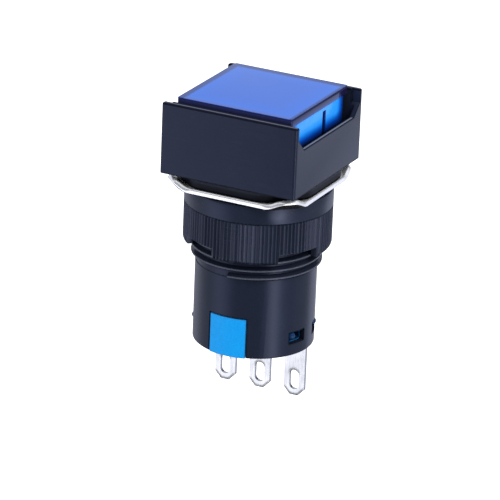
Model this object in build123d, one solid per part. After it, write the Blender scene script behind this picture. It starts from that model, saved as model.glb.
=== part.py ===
from build123d import *
import math
import os

# Panel pushbutton for a 16 mm hole, with a square shrouded head.
# Millimetres.  Z runs up through the button, the panel face is z = 0 and
# the front of the head is -Y.

# ---- head -----------------------------------------------------------------
HEAD_SIDE = 18.0
HEAD_HEIGHT = 8.9
HEAD_WALL = 1.0                      # front and back walls of the shroud
HEAD_SIDE_WALL = 0.6                 # side walls, which carry the finger notches
HEAD_CORNER_R = 0.35
HEAD_TOP_R = 0.25
HEAD_FLOOR = 1.6                     # thickness of the floor under the pocket
NOTCH_POST = 0.65                    # wall left beside the finger notch at its top
NOTCH_DROP = 1.65                    # straight part of the notch's flanks
NOTCH_RUN = 1.55                     # 45 degree part of the notch's flanks
NOTCH_HALF = HEAD_SIDE / 2 - NOTCH_POST

# ---- travel ---------------------------------------------------------------
TRAVEL = 3.0
SWING_DEG = 12.0                     # rocking of the contact arm over the travel

# ---- lens, marking plate, holder --------------------------------------------
LENS_GAP = 0.35                      # between the lens and the front wall
LENS_THICK = 1.0
LENS_PROUD = 0.55                    # lens top above the shroud
LENS_CORNER_R = 0.35
LENS_EDGE_R = 0.12
LENS_LEG_X = 3.0
LENS_LEG_THICK = 0.7
LENS_LEG_LENGTH = 1.7
LENS_SIDE = HEAD_SIDE - 2 * (HEAD_WALL + LENS_GAP)
LENS_TOP = HEAD_HEIGHT + LENS_PROUD
LENS_BOTTOM = LENS_TOP - LENS_THICK
HOLDER_INSET_X = 0.3                 # holder side set back from the lens edge
HOLDER_INSET_Y = 0.1
HOLDER_X = LENS_SIDE - 2 * HOLDER_INSET_X
HOLDER_Y = LENS_SIDE - 2 * HOLDER_INSET_Y
HOLDER_CORNER_R = 0.8
HOLDER_WALL = 1.5
HOLDER_FLOOR = 0.8
HOLDER_SKIRT_WALL = 0.9
HOLDER_SKIRT_HEIGHT = 0.8
HOLDER_SKIRT_GAP = 0.3               # skirt above the pocket floor when pressed
HOLDER_BOTTOM = HEAD_FLOOR + TRAVEL + HOLDER_SKIRT_GAP
HOLDER_FLOOR_UNDER = HOLDER_BOTTOM + HOLDER_SKIRT_HEIGHT
HOLDER_FLOOR_TOP = HOLDER_FLOOR_UNDER + HOLDER_FLOOR
SLOT_WIDTH = 0.6
SLOT_OFFSET = 1.8
SLOT_DROP = 0.7                      # slot top below the lens
PLATE_THICK = 0.6
PLATE_CLEAR = 0.05
PLATE_LEDGE = 0.6

# ---- neck, thread, barrel -----------------------------------------------------
NECK_STEP = 1.0                      # how far the head overhangs the thread
THREAD_MAJOR_R = HEAD_SIDE / 2 - NECK_STEP
THREAD_PITCH = 1.0
THREAD_DEPTH = 0.6
THREAD_CREST = 0.22                  # width of the flat at the crest
THREAD_RELIEF = 0.8                  # plain neck above the thread
THREAD_RUNOUT = 0.25                 # plain neck below the thread
THREAD_SINK = 0.08                   # how far the ridge is sunk in its core
THREAD_START_DEG = -90.0             # bearing of the ridge's lower end
NECK_LENGTH = 12.05
NECK_BOTTOM = -NECK_LENGTH
NECK_WALL = 1.1
NECK_BORE_R = THREAD_MAJOR_R - THREAD_DEPTH - NECK_WALL
BARREL_STEP = 0.54                   # barrel inside the thread's crests
BARREL_R = THREAD_MAJOR_R - BARREL_STEP
BARREL_LENGTH = 10.25
BARREL_BOTTOM = NECK_BOTTOM - BARREL_LENGTH
BARREL_WALL = 0.7
BARREL_BORE_R = BARREL_R - BARREL_WALL
BARREL_RIM_R = 0.2
BARREL_TOP_EDGE = 0.04
TAB_WIDTH = 4.75                     # blue tab of the base that shows at the front
TAB_HEIGHT = 5.0
TAB_GAP = 0.15
TAB_TOP = BARREL_BOTTOM + TAB_HEIGHT
WINDOW_WIDTH = 2.6
WINDOW_HEIGHT = 1.5
WINDOW_RISE = 2.28                   # window centre above the barrel's end
WINDOW_Z = BARREL_BOTTOM + WINDOW_RISE
WINDOW_DEG = 18.5                    # each window's angle from the X axis
POCKET_DEPTH = 2.0                   # hollow of the base behind a front window
NOSE_TURN = 5.5                      # snap nose beyond its window's middle
NOSE_R = 0.5
NOSE_PROUD = 0.15                    # nose beyond the barrel
NOSE_CLEAR = 0.05                    # nose below the window's top edge
NOSE_Z = WINDOW_Z + WINDOW_HEIGHT / 2 - NOSE_CLEAR - NOSE_R

# ---- gasket, washer, nut --------------------------------------------------------
GASKET_THICK = 1.3
GASKET_INSET = 0.15                  # gasket's flat sides inside the head's
GASKET_BULGE = 0.8                   # gasket's corners beyond the head's sides
GASKET_SIDE = HEAD_SIDE - 2 * GASKET_INSET
GASKET_CORNER_R = HEAD_SIDE / 2 + GASKET_BULGE
NECK_CLEAR = 0.1
WASHER_THICK = 0.8
WASHER_INSET = 0.05
WASHER_SIDE = HEAD_SIDE - 2 * WASHER_INSET
WASHER_FOLD = 2.9                    # distance of the fold's ends from the corner
WASHER_RISE_DEG = 38.0
WASHER_TIP_R = 1.3
WASHER_TOP = -GASKET_THICK
WASHER_BOTTOM = WASHER_TOP - WASHER_THICK
THREAD_CLEAR = 0.1
NUT_WALL = 0.97
NUT_BORE_R = THREAD_MAJOR_R + THREAD_CLEAR
NUT_R = NUT_BORE_R + NUT_WALL
NUT_HEIGHT = 7.5
NUT_COLLAR = 2.25
NUT_EDGE = 0.35
NUT_RIBS = 116
NUT_RIB_DEPTH = 0.14
NUT_NOTCHES = 4
NUT_NOTCH_DEG = 36.0
NUT_NOTCH_DEPTH = 1.35
NUT_NOTCH_TURN = 61.0                # first notch, from -Y towards +X
NUT_TOP = WASHER_BOTTOM
NUT_BOTTOM = NUT_TOP - NUT_HEIGHT

# ---- base and terminals -----------------------------------------------------------
BASE_CLEAR = 0.1
BASE_R = BARREL_BORE_R - BASE_CLEAR
BASE_HEIGHT = 4.9
BASE_TOP = BARREL_BOTTOM + BASE_HEIGHT
TERMINAL_INSET = 1.91                # side tab's centre line inside the base's edge
TERMINAL_PITCH = BASE_R - TERMINAL_INSET
TERMINAL_Y = 2.45
TERMINAL_THICK = 0.5
TERMINAL_WIDTH = 2.8
TERMINAL_LENGTH = 7.55               # tab below the base
TERMINAL_TIP = BARREL_BOTTOM - TERMINAL_LENGTH
TERMINAL_CHAMFER_X = 0.85
TERMINAL_CHAMFER_Z = 0.9
BLADE_THICK = 0.4                    # coined part of the terminal, inside the base
BLADE_WIDTH = 1.8
EYE_WIDTH = 1.25
EYE_HEIGHT = 2.5
EYE_RISE = 2.05                      # eye centre above the tip
SHELF_REACH = 3.35                   # how far a contact shelf runs forward of its blade

# ---- rocking contact ------------------------------------------------------------------
REST_DEG = -SWING_DEG / 2
RIDGE_R = 0.4
RIDGE_CLEAR = 0.05
ARM_THICK = 0.3
ARM_WIDTH = 2.4
ARM_END = 0.85                       # arm beyond its rivets' centres
ARM_HALF = TERMINAL_PITCH + ARM_END
ARM_LIFT = 0.2                       # arm underside above the pivot when level
ARM_TIP_R = 0.4
RIVET_R = 0.7
RIVET_DROP = 0.4                     # rivet head below the arm
DOME_R = 1.5
DOME_HEIGHT = 0.5
DOME_RADIUS = 0.8
CONTACT_GAP = 0.02
COMMON_SHELF = 1.4
SHELF_CLEAR = 0.1                    # shelves above the base
HALF_SWING = math.radians(SWING_DEG / 2)
DOME_DOWN = RIVET_DROP - ARM_LIFT + CONTACT_GAP + DOME_R
DOME_X = TERMINAL_PITCH * math.cos(HALF_SWING) - DOME_DOWN * math.sin(HALF_SWING)
DOME_DROP = TERMINAL_PITCH * math.sin(HALF_SWING) + DOME_DOWN * math.cos(HALF_SWING)
SHELF_TOP = BASE_TOP + SHELF_CLEAR + BLADE_THICK
DOME_Z = SHELF_TOP + DOME_HEIGHT - DOME_R
PIVOT_Z = DOME_Z + DOME_DROP

# ---- plunger ----------------------------------------------------------------
FLANGE_CLEAR = 0.5                   # flange inside the neck's bore
FLANGE_R = NECK_BORE_R - FLANGE_CLEAR
PIN_R = 2.0
PIN_CLEAR = 0.03
STEM_SIDE = 5.2
STEM_CLEAR = 0.05
STEM_RISE = 4.4                      # stem's foot above the contact's pivot
STEM_BOTTOM = PIVOT_Z + STEM_RISE
LUG_DEPTH = 1.2
LUG_REACH = 0.6
LUG_WIDTH = 2.4
LUG_CLEAR = 0.02
GUIDE_TOP = -3.2
GUIDE_THICK = 2.0
GUIDE_BOTTOM = GUIDE_TOP - GUIDE_THICK

# ---- springs --------------------------------------------------------------------------------
RETURN_STEP = 0.8                    # coil's middle line inside the flange's edge
RETURN_R = FLANGE_R - RETURN_STEP
RETURN_WIRE = 0.5
RETURN_TURNS = 5.5
DRIVE_R = 0.85
DRIVE_WIRE = 0.25
DRIVE_TURNS = 8.0
DRIVE_CLEAR = 0.1
DRIVE_DEPTH = 2.6
DRIVE_WALL = 0.2
DRIVE_POCKET_R = DRIVE_R + DRIVE_WIRE / 2 + DRIVE_CLEAR
DRIVE_X = STEM_SIDE / 2 - DRIVE_WALL - DRIVE_POCKET_R
DRIVE_TOP = STEM_BOTTOM + DRIVE_DEPTH
BIAS_STEP = 2.35                     # spring's axis inside the side terminal's
BIAS_X = TERMINAL_PITCH - BIAS_STEP
BIAS_R = 0.65
BIAS_WIRE = 0.2
BIAS_TURNS = 4.0
SPRING_CLEAR = 0.015


def square(side_x, side_y, corner, bottom, top):
    """Upright block with rounded vertical edges."""
    outline = RectangleRounded(side_x, side_y, corner)
    return Pos(0, 0, bottom) * extrude(outline, top - bottom)


def disc(radius, bottom, top):
    """Upright cylinder between two heights."""
    return Pos(0, 0, bottom) * extrude(Circle(radius), top - bottom)


def block(x0, x1, y0, y1, z0, z1):
    """Box between two corners."""
    return Pos((x0 + x1) / 2, (y0 + y1) / 2, (z0 + z1) / 2) * Box(x1 - x0, y1 - y0, z1 - z0)


def helical_ridge(root_r, apex_r, root_width, apex_width, start, end):
    """Right-hand ridge of trapezoid section, closed by four helicoids and two end faces."""
    height = end - start
    rails = []
    for radius, offset in (
        (root_r, -root_width / 2),
        (apex_r, -apex_width / 2),
        (apex_r, apex_width / 2),
        (root_r, root_width / 2),
    ):
        rails.append(Pos(0, 0, start + offset) * Edge.make_helix(THREAD_PITCH, height, radius))
    faces = []
    for low, high in ((0, 1), (1, 2), (2, 3), (3, 0)):
        faces.append(Face.make_surface_from_curves(rails[low], rails[high]))
    for place in (0, 1):
        corners = [rail @ place for rail in rails]
        faces.append(Face(Wire.make_polygon(corners, close=True)))
    return Solid(Shell(faces))


def finger_notch(side):
    """Trapezoid cut through one side wall of the head, side = +1 or -1 on X."""
    inner = HEAD_SIDE / 2 - HEAD_SIDE_WALL
    foot = HEAD_HEIGHT - NOTCH_DROP
    floor = foot - NOTCH_RUN
    above = HEAD_HEIGHT + 1
    low = NOTCH_HALF - NOTCH_RUN
    outline = Plane.YZ * Polygon(
        (-NOTCH_HALF, above),
        (-NOTCH_HALF, foot),
        (-low, floor),
        (low, floor),
        (NOTCH_HALF, foot),
        (NOTCH_HALF, above),
        align=None,
    )
    reach = HEAD_SIDE_WALL + 1
    start = inner - 0.5 if side > 0 else 0.5 - inner - reach
    return Pos(start, 0, 0) * extrude(outline, reach)


def window_cut(angle, start, width, height):
    """Radial box at a window, at an angle from +X and outward from a start radius."""
    reach = BARREL_R + 1 - start
    cut = Pos(start + reach / 2, 0, WINDOW_Z) * Box(reach, width, height)
    return Rot(0, 0, angle) * cut


def snap_nose(angle):
    """Round-ended snap nose of the base, at an angle from +X."""
    root = BASE_R - POCKET_DEPTH - NOSE_R
    end = BARREL_R + NOSE_PROUD - NOSE_R
    stem = Rot(0, 90, 0) * disc(NOSE_R, root, end)
    return Rot(0, 0, angle) * Pos(0, 0, NOSE_Z) * (stem + Pos(end, 0, 0) * Sphere(NOSE_R))


def four_ways(angle):
    """An angle from +X repeated on both sides, in front and behind; the front pair comes first."""
    return (-angle, 180 + angle, angle, 180 - angle)


def make_housing():
    """Head, threaded neck and barrel, moulded in one piece."""
    head = square(HEAD_SIDE, HEAD_SIDE, HEAD_CORNER_R, 0, HEAD_HEIGHT)
    head = fillet(head.faces().sort_by(Axis.Z)[-1].edges(), HEAD_TOP_R)
    pocket_x = HEAD_SIDE - 2 * HEAD_SIDE_WALL
    pocket_y = HEAD_SIDE - 2 * HEAD_WALL
    head -= square(pocket_x, pocket_y, HEAD_CORNER_R / 2, HEAD_FLOOR, HEAD_HEIGHT + 1)
    head -= finger_notch(1)
    head -= finger_notch(-1)
    barrel = disc(BARREL_R, BARREL_BOTTOM, NECK_BOTTOM)
    barrel = fillet(barrel.faces().sort_by(Axis.Z)[0].edges(), BARREL_RIM_R)
    barrel = chamfer(barrel.faces().sort_by(Axis.Z)[-1].edges(), BARREL_TOP_EDGE)
    ridge = helical_ridge(
        THREAD_MAJOR_R - THREAD_DEPTH - THREAD_SINK,
        THREAD_MAJOR_R,
        THREAD_PITCH - THREAD_CREST,
        THREAD_CREST,
        NECK_BOTTOM + THREAD_RUNOUT,
        -THREAD_RELIEF,
    )
    ridge = Rot(0, 0, THREAD_START_DEG) * ridge & disc(HEAD_SIDE, NECK_BOTTOM, 0)
    neck = disc(THREAD_MAJOR_R - THREAD_DEPTH, NECK_BOTTOM, 0) + ridge
    body = neck + barrel + head
    body -= disc(NECK_BORE_R, GUIDE_TOP, HEAD_FLOOR + 1)
    body -= disc(NECK_BORE_R, NECK_BOTTOM - 1, GUIDE_BOTTOM)
    body -= disc(BARREL_BORE_R, BARREL_BOTTOM - 1, NECK_BOTTOM)
    hole = STEM_SIDE + 2 * STEM_CLEAR
    body -= block(-hole / 2, hole / 2, -hole / 2, hole / 2, GUIDE_BOTTOM - 1, GUIDE_TOP + 1)
    opening = TAB_WIDTH / 2 + TAB_GAP
    body -= block(-opening, opening, -BARREL_R - 1, -BARREL_BORE_R / 2, BARREL_BOTTOM - 1, TAB_TOP + TAB_GAP)
    for angle in four_ways(WINDOW_DEG):
        body -= window_cut(angle, BARREL_BORE_R - 1, WINDOW_WIDTH, WINDOW_HEIGHT)
    return body


def make_lens():
    """Clear cap of the button with two legs that clip into the holder."""
    cap = square(LENS_SIDE, LENS_SIDE, LENS_CORNER_R, LENS_BOTTOM, LENS_TOP)
    cap = fillet(cap.faces().sort_by(Axis.Z)[-1].edges(), LENS_EDGE_R)
    wall = HOLDER_Y / 2 - HOLDER_WALL
    for side in (1, -1):
        y_out = side * (wall - PLATE_CLEAR)
        y_in = side * (wall - PLATE_CLEAR - LENS_LEG_THICK)
        cap += block(
            -LENS_LEG_X / 2,
            LENS_LEG_X / 2,
            min(y_out, y_in),
            max(y_out, y_in),
            LENS_BOTTOM - LENS_LEG_LENGTH,
            LENS_BOTTOM,
        )
    return cap


def plate_half():
    """Half sizes of the marking plate."""
    half_x = HOLDER_X / 2 - HOLDER_WALL + PLATE_LEDGE
    half_y = HOLDER_Y / 2 - HOLDER_WALL - LENS_LEG_THICK - 4 * PLATE_CLEAR
    return half_x, half_y


def make_marking_plate():
    """Thin diffuser plate that lies on the holder's ledge, under the lens."""
    half_x, half_y = plate_half()
    side_x = 2 * (half_x - PLATE_CLEAR)
    return square(side_x, 2 * half_y, HOLDER_CORNER_R / 2, LENS_BOTTOM - PLATE_THICK, LENS_BOTTOM)


def make_holder():
    """Translucent box that carries the lens and clips on the plunger."""
    box = square(HOLDER_X, HOLDER_Y, HOLDER_CORNER_R, HOLDER_BOTTOM, LENS_BOTTOM)
    inner_x = HOLDER_X / 2 - HOLDER_WALL
    inner_y = HOLDER_Y / 2 - HOLDER_WALL
    box -= block(-inner_x, inner_x, -inner_y, inner_y, HOLDER_FLOOR_TOP, LENS_BOTTOM + 1)
    half_x, half_y = plate_half()
    seat = half_y + PLATE_CLEAR
    box -= block(-half_x, half_x, -seat, seat, LENS_BOTTOM - PLATE_THICK, LENS_BOTTOM + 1)
    skirt_x = HOLDER_X - 2 * HOLDER_SKIRT_WALL
    skirt_y = HOLDER_Y - 2 * HOLDER_SKIRT_WALL
    box -= square(skirt_x, skirt_y, HOLDER_CORNER_R / 2, HOLDER_BOTTOM - 1, HOLDER_FLOOR_UNDER)
    box -= disc(PIN_R + PIN_CLEAR, HOLDER_BOTTOM, HOLDER_FLOOR_TOP + 1)
    for side in (1, -1):
        wall = side * HOLDER_X / 2
        box -= block(
            wall - HOLDER_SKIRT_WALL,
            wall + HOLDER_SKIRT_WALL,
            side * SLOT_OFFSET - SLOT_WIDTH / 2,
            side * SLOT_OFFSET + SLOT_WIDTH / 2,
            HOLDER_BOTTOM - 1,
            LENS_BOTTOM - SLOT_DROP,
        )
    return box


def make_plunger():
    """Flanged square stem that slides in the guide and pushes the contact through its spring."""
    body = disc(FLANGE_R, HOLDER_BOTTOM, HOLDER_FLOOR_UNDER)
    body += disc(PIN_R, HOLDER_FLOOR_UNDER, HOLDER_FLOOR_TOP)
    half = STEM_SIDE / 2
    body += block(-half, half, -half, half, STEM_BOTTOM, HOLDER_BOTTOM)
    lug_top = GUIDE_BOTTOM - LUG_CLEAR
    for side in (1, -1):
        y_root = side * half
        y_tip = side * (half + LUG_REACH)
        body += block(
            -LUG_WIDTH / 2,
            LUG_WIDTH / 2,
            min(y_root, y_tip),
            max(y_root, y_tip),
            lug_top - LUG_DEPTH,
            lug_top,
        )
    body -= Pos(DRIVE_X, 0, 0) * disc(DRIVE_POCKET_R, STEM_BOTTOM - 1, DRIVE_TOP)
    return body


def coil(radius, wire, bottom, top, turns):
    """Compression spring of round wire between two flat heights."""
    low = bottom + wire / 2
    high = top - wire / 2
    path = Edge.make_helix((high - low) / turns, high - low, radius)
    section = Plane(origin=path @ 0, z_dir=path % 0) * Circle(wire / 2)
    return Pos(0, 0, low) * sweep(section, path=path, is_frenet=True)


def arm_height(x, level):
    """Height of a point of the arm at rest, x along the arm and level above the pivot."""
    turn = math.radians(REST_DEG)
    return PIVOT_Z + level * math.cos(turn) - x * math.sin(turn)


def make_return_spring():
    """Coil that lifts the button."""
    return coil(RETURN_R, RETURN_WIRE, GUIDE_TOP, HOLDER_BOTTOM, RETURN_TURNS)


def make_drive_spring():
    """Coil in the plunger's foot that presses on the rocking arm."""
    reach = DRIVE_X + DRIVE_R + DRIVE_WIRE / 2
    bottom = arm_height(reach, ARM_LIFT + ARM_THICK) + SPRING_CLEAR
    spring = coil(DRIVE_R, DRIVE_WIRE, bottom, DRIVE_TOP, DRIVE_TURNS)
    return Pos(DRIVE_X, 0, 0) * spring


def make_bias_spring():
    """Coil under the arm that rocks it back to the normally closed side."""
    reach = BIAS_X - BIAS_R - BIAS_WIRE / 2
    top = arm_height(reach, ARM_LIFT) - SPRING_CLEAR
    spring = coil(BIAS_R, BIAS_WIRE, BASE_TOP, top, BIAS_TURNS)
    return Pos(BIAS_X, 0, 0) * spring


def make_gasket():
    """Rubber seal between the head and the panel."""
    bottom = -GASKET_THICK
    ring = square(GASKET_SIDE, GASKET_SIDE, HEAD_CORNER_R, bottom, 0)
    ring &= disc(GASKET_CORNER_R, bottom, 0)
    return ring - disc(THREAD_MAJOR_R + NECK_CLEAR, bottom - 1, 1)


def make_washer():
    """Square spring-steel lock washer; its corners bend up to bite the panel."""
    half = WASHER_SIDE / 2
    near = half - WASHER_FOLD
    outline = Polygon(
        (half, -near),
        (half, near),
        (near, half),
        (-near, half),
        (-half, near),
        (-half, -near),
        (-near, -half),
        (near, -half),
        align=None,
    )
    plate = Pos(0, 0, WASHER_BOTTOM) * extrude(outline, WASHER_THICK)
    fold = (half + near) / math.sqrt(2)
    run = half * math.sqrt(2) - fold
    slope = math.radians(WASHER_RISE_DEG)
    tip_x = fold + run * math.cos(slope)
    rise = run * math.sin(slope)
    side = Plane.XZ * Polygon(
        (fold - WASHER_THICK, WASHER_TOP),
        (fold, WASHER_TOP),
        (tip_x, WASHER_TOP + rise),
        (tip_x + WASHER_THICK * math.sin(slope), WASHER_TOP + rise - WASHER_THICK * math.cos(slope)),
        (fold + WASHER_THICK * math.tan(slope / 2), WASHER_BOTTOM),
        (fold - WASHER_THICK, WASHER_BOTTOM),
        align=None,
    )
    flap = extrude(side, half, both=True)
    squeeze = math.cos(slope)
    plan = Polygon(
        (fold - WASHER_THICK, -run - WASHER_THICK),
        (fold, -run),
        (fold + run * squeeze + WASHER_THICK, 0),
        (fold, run),
        (fold - WASHER_THICK, run + WASHER_THICK),
        align=None,
    )
    plan = fillet(plan.vertices().sort_by(Axis.X)[-1], WASHER_TIP_R)
    flap &= Pos(0, 0, WASHER_BOTTOM - 1) * extrude(plan, WASHER_THICK + rise + 2)
    for quarter in range(4):
        plate += Rot(0, 0, 45 + 90 * quarter) * flap
    return plate - disc(THREAD_MAJOR_R + NECK_CLEAR, WASHER_BOTTOM - 1, WASHER_TOP + 1)


def ribbed_outline():
    """Star-shaped outline of the knurled band."""
    points = []
    for rib in range(NUT_RIBS):
        middle = 2 * math.pi * rib / NUT_RIBS
        quarter = 2 * math.pi / NUT_RIBS / 4
        for angle, radius in ((middle - quarter, NUT_R - NUT_RIB_DEPTH), (middle + quarter, NUT_R)):
            points.append((radius * math.cos(angle), radius * math.sin(angle)))
    return Polygon(*points, align=None)


def make_nut():
    """Ring nut: plain collar, knurled band and castellated lower edge."""
    collar_bottom = NUT_TOP - NUT_COLLAR
    collar = disc(NUT_R, collar_bottom, NUT_TOP)
    collar = chamfer(collar.faces().sort_by(Axis.Z)[-1].edges(), NUT_EDGE / 2)
    band = Pos(0, 0, NUT_BOTTOM) * extrude(ribbed_outline(), collar_bottom - NUT_BOTTOM)
    edge = disc(NUT_R + NUT_EDGE, NUT_BOTTOM, collar_bottom)
    edge = chamfer(edge.faces().sort_by(Axis.Z)[0].edges(), 2 * NUT_EDGE)
    body = collar + (band & edge)
    body -= disc(NUT_BORE_R, NUT_BOTTOM - 1, NUT_TOP + 1)
    half = math.radians(NUT_NOTCH_DEG / 2)
    reach = 2 * NUT_R
    wedge = Polygon((0, 0), (-reach * math.sin(half), -reach), (reach * math.sin(half), -reach), align=None)
    cut = Pos(0, 0, NUT_BOTTOM - 1) * extrude(wedge, NUT_NOTCH_DEPTH + 1)
    for notch in range(NUT_NOTCHES):
        body -= Rot(0, 0, NUT_NOTCH_TURN + notch * 360 / NUT_NOTCHES) * cut
    return body


def blade_opening(x):
    """Cut in the base that one terminal fills."""
    y = TERMINAL_Y
    half = BLADE_WIDTH / 2
    depth = BLADE_THICK / 2
    return block(x - half, x + half, y - depth, y + depth, BARREL_BOTTOM - 1, BASE_TOP + 1)


def make_base():
    """Terminal block that closes the barrel, with its front tab and four snap noses."""
    body = disc(BASE_R, BARREL_BOTTOM, BASE_TOP)
    half = TAB_WIDTH / 2
    tab = block(-half, half, -BARREL_R - 1, -BARREL_BORE_R / 2, BARREL_BOTTOM, TAB_TOP)
    body += tab & disc(BARREL_R, BARREL_BOTTOM, TAB_TOP)
    for angle in four_ways(WINDOW_DEG)[:2]:
        body -= window_cut(angle, BASE_R - POCKET_DEPTH, WINDOW_WIDTH, WINDOW_HEIGHT)
    for angle in four_ways(WINDOW_DEG + NOSE_TURN):
        body += snap_nose(angle)
    for step in (-1, 0, 1):
        body -= blade_opening(step * TERMINAL_PITCH)
    return body


def upright_plate(outline, thickness):
    """Plate standing in the terminals' plane, drawn in X and Z."""
    return Pos(0, TERMINAL_Y + thickness / 2, 0) * extrude(Plane.XZ * outline, thickness)


def make_terminal(x, top):
    """Solder tab with its eye, and the coined blade that runs up through the base."""
    half = TERMINAL_WIDTH / 2
    flat = half - TERMINAL_CHAMFER_X
    cheek = TERMINAL_TIP + TERMINAL_CHAMFER_Z
    outline = Polygon(
        (-flat, TERMINAL_TIP),
        (flat, TERMINAL_TIP),
        (half, cheek),
        (half, BARREL_BOTTOM),
        (-half, BARREL_BOTTOM),
        (-half, cheek),
        align=None,
    )
    outline -= Pos(0, TERMINAL_TIP + EYE_RISE) * SlotOverall(EYE_HEIGHT, EYE_WIDTH, rotation=90)
    middle = (BARREL_BOTTOM + top) / 2
    blade = Pos(0, middle) * Rectangle(BLADE_WIDTH, top - BARREL_BOTTOM)
    body = upright_plate(outline, TERMINAL_THICK) + upright_plate(blade, BLADE_THICK)
    return Pos(x, 0, 0) * body


def make_side_terminal(side):
    """Normally open (+1) or normally closed (-1) terminal with its contact shelf."""
    x = side * TERMINAL_PITCH
    body = make_terminal(x, SHELF_TOP)
    back = TERMINAL_Y + BLADE_THICK / 2
    half = BLADE_WIDTH / 2
    return body + block(x - half, x + half, back - SHELF_REACH, back, SHELF_TOP - BLADE_THICK, SHELF_TOP)


def make_common_terminal():
    """Middle terminal whose shelf carries the ridge the arm rocks on."""
    body = make_terminal(0, PIVOT_Z)
    back = TERMINAL_Y + BLADE_THICK / 2
    front = -ARM_WIDTH / 2
    half = COMMON_SHELF / 2
    body += block(-half, half, front, back, PIVOT_Z - BLADE_THICK, PIVOT_Z)
    ridge = Plane.XZ * Circle(RIDGE_R)
    body += Pos(0, ARM_WIDTH / 2, PIVOT_Z) * extrude(ridge, ARM_WIDTH)
    return body


def make_fixed_contact(side):
    """Domed rivet on a side terminal's shelf, touched by the arm at that end."""
    cap = disc(DOME_RADIUS, SHELF_TOP, DOME_Z + DOME_R)
    return Pos(side * DOME_X, 0, 0) * (cap & Pos(0, 0, DOME_Z) * Sphere(DOME_R))


def tilt(shape):
    """Turn a shape drawn level about the origin to the arm's place at rest."""
    return Pos(0, 0, PIVOT_Z) * Rot(0, REST_DEG, 0) * shape


def make_arm():
    """Strip that rocks on the common terminal's ridge."""
    half = ARM_WIDTH / 2
    strip = block(-ARM_HALF, ARM_HALF, -half, half, ARM_LIFT, ARM_LIFT + ARM_THICK)
    strip = fillet(strip.edges().filter_by(Axis.Z), ARM_TIP_R)
    inner = RIDGE_R + RIDGE_CLEAR
    saddle = Plane.XZ * (Circle(inner + ARM_THICK) - Pos(0, -inner) * Rectangle(4, 2 * (inner + ARM_LIFT)))
    saddle_body = Pos(0, half, 0) * extrude(saddle, ARM_WIDTH)
    groove = Pos(0, half + 1, 0) * extrude(Plane.XZ * Circle(inner), ARM_WIDTH + 2)
    return tilt(strip + saddle_body - groove)


def make_moving_contacts():
    """The pair of silver rivets under the ends of the arm."""
    pair = disc(RIVET_R, ARM_LIFT - RIVET_DROP, ARM_LIFT)
    left = Pos(-TERMINAL_PITCH, 0, 0) * pair
    right = Pos(TERMINAL_PITCH, 0, 0) * pair
    return tilt(left), tilt(right)


def build_all():
    """Every node of the part by name."""
    rivet_nc, rivet_no = make_moving_contacts()
    return {
        "housing": make_housing(),
        "lens": make_lens(),
        "marking_plate": make_marking_plate(),
        "lens_holder": make_holder(),
        "plunger": make_plunger(),
        "return_spring": make_return_spring(),
        "drive_spring": make_drive_spring(),
        "bias_spring": make_bias_spring(),
        "panel_gasket": make_gasket(),
        "lock_washer": make_washer(),
        "ring_nut": make_nut(),
        "terminal_base": make_base(),
        "terminal_common": make_common_terminal(),
        "terminal_no": make_side_terminal(1),
        "terminal_nc": make_side_terminal(-1),
        "fixed_contact_no": make_fixed_contact(1),
        "fixed_contact_nc": make_fixed_contact(-1),
        "contact_arm": make_arm(),
        "moving_contact_nc": rivet_nc,
        "moving_contact_no": rivet_no,
    }


os.makedirs("parts", exist_ok=True)
for name, shape in build_all().items():
    export_step(shape, f"parts/{name}.step")
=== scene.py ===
import math
import bmesh
import bpy
import numpy as np
from mathutils import Matrix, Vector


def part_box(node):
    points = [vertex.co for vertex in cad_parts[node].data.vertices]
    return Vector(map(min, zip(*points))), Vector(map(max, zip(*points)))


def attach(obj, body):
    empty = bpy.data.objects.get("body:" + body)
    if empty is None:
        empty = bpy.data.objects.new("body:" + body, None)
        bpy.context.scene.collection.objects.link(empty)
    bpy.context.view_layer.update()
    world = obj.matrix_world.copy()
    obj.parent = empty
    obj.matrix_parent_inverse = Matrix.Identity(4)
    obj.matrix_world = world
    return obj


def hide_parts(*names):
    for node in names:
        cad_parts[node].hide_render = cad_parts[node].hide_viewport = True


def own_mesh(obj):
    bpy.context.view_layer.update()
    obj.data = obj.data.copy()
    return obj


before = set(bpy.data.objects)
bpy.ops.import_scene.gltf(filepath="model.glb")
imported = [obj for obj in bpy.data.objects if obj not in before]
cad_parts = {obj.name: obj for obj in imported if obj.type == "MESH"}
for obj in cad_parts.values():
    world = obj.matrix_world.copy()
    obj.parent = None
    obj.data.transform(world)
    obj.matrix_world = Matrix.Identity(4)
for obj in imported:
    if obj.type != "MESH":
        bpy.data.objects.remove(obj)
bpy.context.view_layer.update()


# ---- studio and camera ----------------------------------------------------
# A light tent: pale walls and ceiling, a dim stretch where the camera stands,
# one tall strip lamp to the right of it, and a pale floor well below the switch.
# The camera looks down on the front and the right-hand side of the head.
def node(tree, kind, inputs=None, **props):
    """Adds one shader node, sets its properties, and links or sets its inputs."""
    made = tree.nodes.new("ShaderNode" + kind)
    for key, value in props.items():
        setattr(made, key, value)
    for key, value in (inputs or {}).items():
        if isinstance(value, bpy.types.NodeSocket):
            tree.links.new(value, made.inputs[key])
        else:
            made.inputs[key].default_value = value
    return made


def ramp(tree, factor, stops):
    """Straight colour ramp through (place, colour or grey) stops."""
    made = node(tree, "ValToRGB", {"Fac": factor})
    marks = made.color_ramp.elements
    while len(marks) < len(stops):
        marks.new(0.5)
    for mark, (place, colour) in zip(marks, stops):
        mark.position = place
        rgb = colour if isinstance(colour, tuple) else (colour,) * 3
        mark.color = (*rgb, 1.0)
    return made.outputs["Color"]


def maths(tree, operation, *values, clamp=False):
    """One Math node; each value is a number or a socket."""
    made = node(tree, "Math", dict(enumerate(values)), operation=operation, use_clamp=clamp)
    return made.outputs["Value"]


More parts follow.
